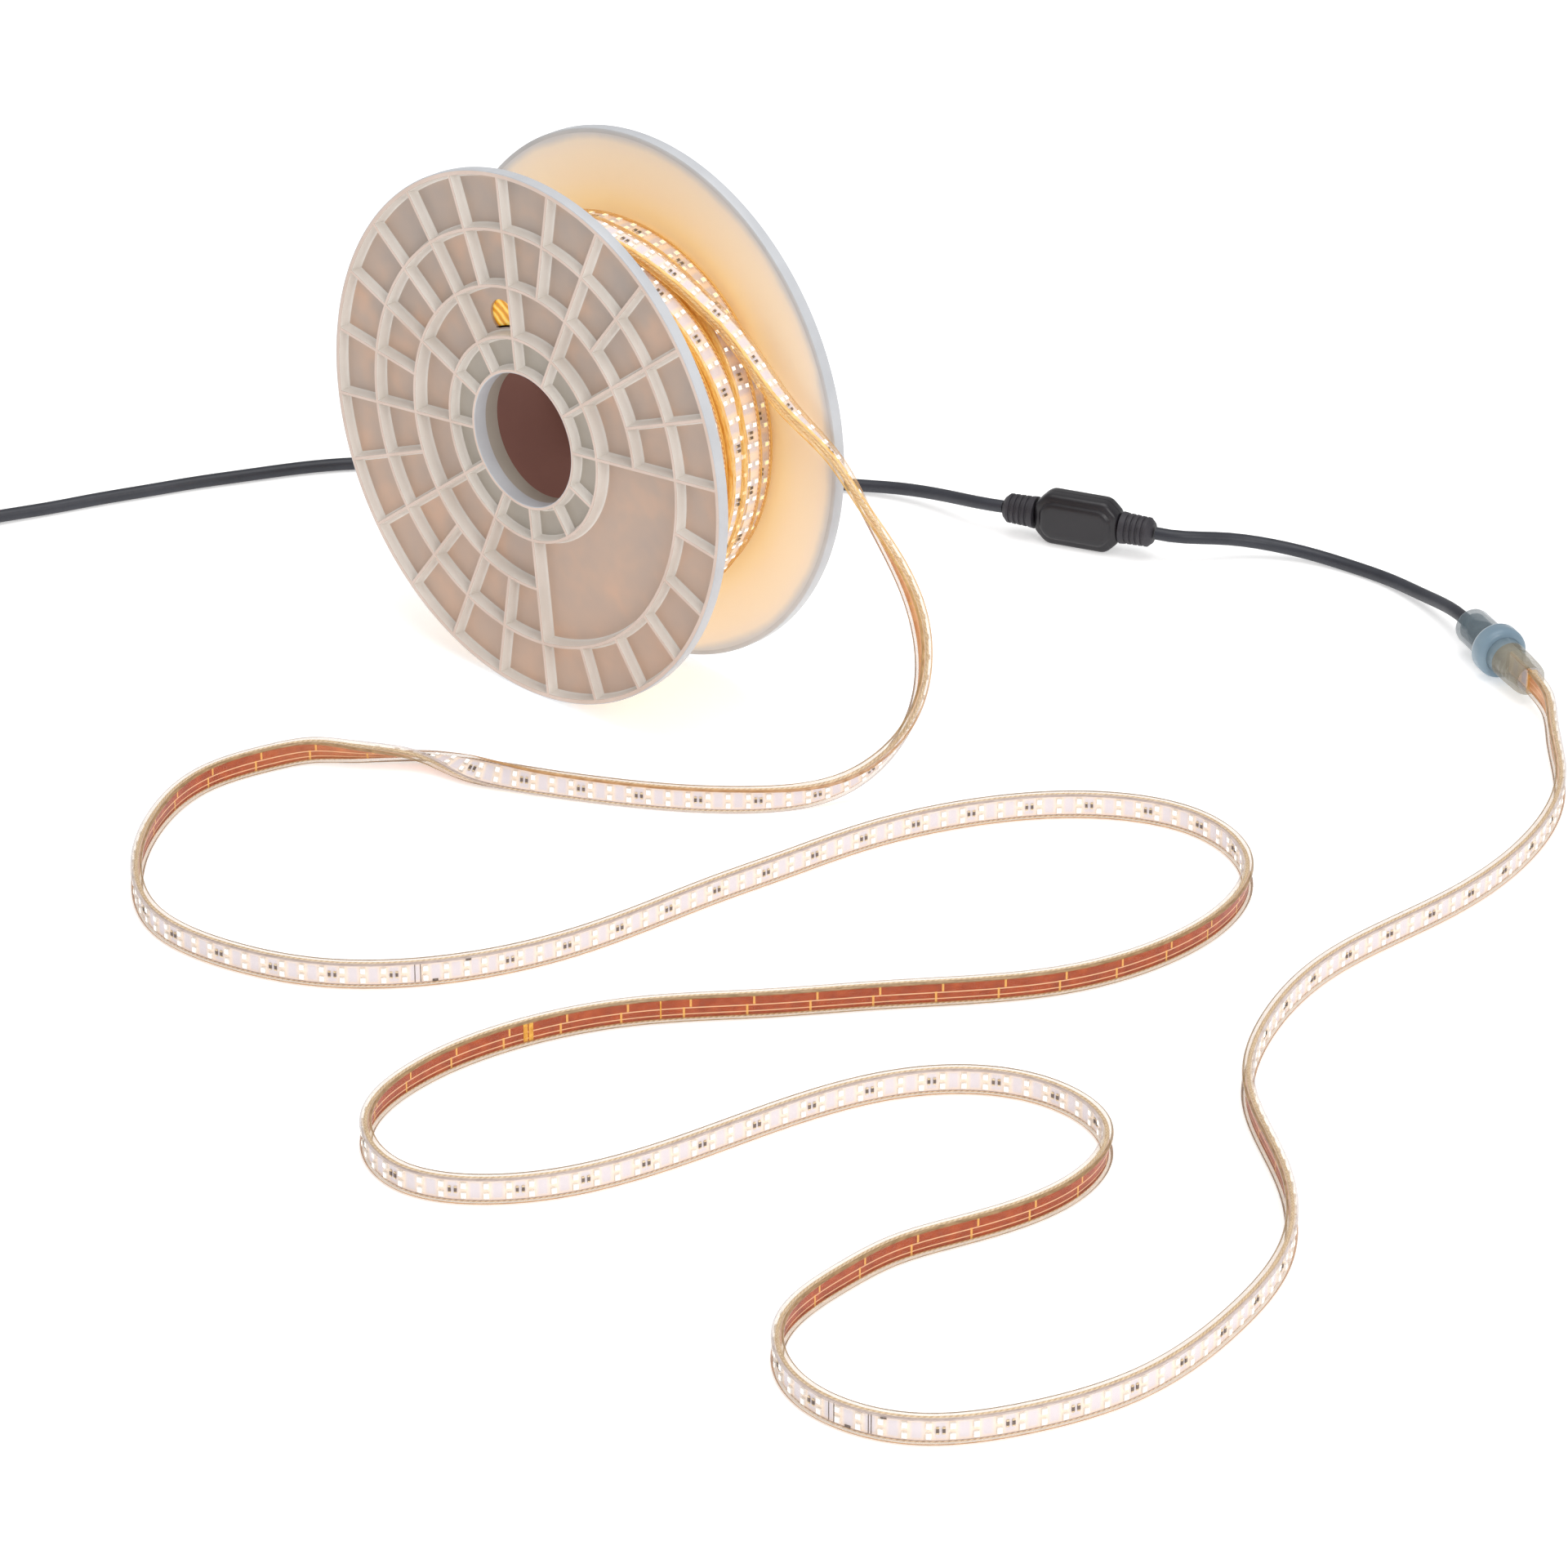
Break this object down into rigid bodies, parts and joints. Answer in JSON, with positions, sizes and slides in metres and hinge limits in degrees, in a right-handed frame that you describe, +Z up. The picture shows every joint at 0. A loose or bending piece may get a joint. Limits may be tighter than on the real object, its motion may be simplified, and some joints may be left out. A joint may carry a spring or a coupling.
{
  "type": "led rope light",
  "caption": "Flat clear LED rope light on an open ribbed reel, its free end laid out in bends and joined by a screw coupling to a lead with a rectifier and mains plug.",
  "frame": {"origin": "on the floor under the middle of the reel, halfway between its two flanges", "axes": "+X to the right along the front of the reel, +Y along the reel's axis from the front flange to the rear flange, +Z up"},
  "size_m": [1.3602, 0.897, 0.316],
  "materials": {
    "reel_plastic": "satin",
    "barrel_plastic": "satin",
    "wound_rope_light": "gloss",
    "rope_light": "gloss",
    "clear_boot": "gloss",
    "nut_plastic": "satin",
    "clear_housing": "gloss",
    "contact_plastic": "matte",
    "socket_plastic": "matte",
    "contact_metal": "plain",
    "washer_rubber": "matte",
    "lead_pvc": "satin",
    "rectifier_plastic": "satin",
    "strain_relief_plastic": "satin",
    "circuit_board": "satin",
    "bridge_body": "matte",
    "tie_plastic": "satin",
    "plug_plastic": "satin",
    "plug_metal": "polished"
  },
  "bodies": {
    "root": {"front_flange": "reel_plastic", "rear_flange": "reel_plastic", "reel_barrel": "barrel_plastic", "wound_strip": "wound_rope_light", "light_strip_rise": "rope_light", "light_strip": "rope_light", "strip_boot": "clear_boot", "socket_block": "socket_plastic", "coupling_nut": "nut_plastic", "cable_side_housing": "clear_housing", "contact_carrier": "contact_plastic", "contact_pin_1": "contact_metal", "contact_pin_2": "contact_metal", "sealing_washer": "washer_rubber", "lead_cable": "lead_pvc", "rectifier_case_front": "rectifier_plastic", "rectifier_case_back": "rectifier_plastic", "rectifier_board": "circuit_board", "bridge_rectifier": "bridge_body", "strain_relief_left": "strain_relief_plastic", "strain_relief_right": "strain_relief_plastic", "mains_cable": "lead_pvc", "mains_cable_coil": "lead_pvc", "mains_cable_tail": "lead_pvc", "coil_tie": "tie_plastic", "plug_body": "plug_plastic", "plug_pin_1": "plug_metal", "plug_pin_2": "plug_metal"}
  },
  "joints": []
}
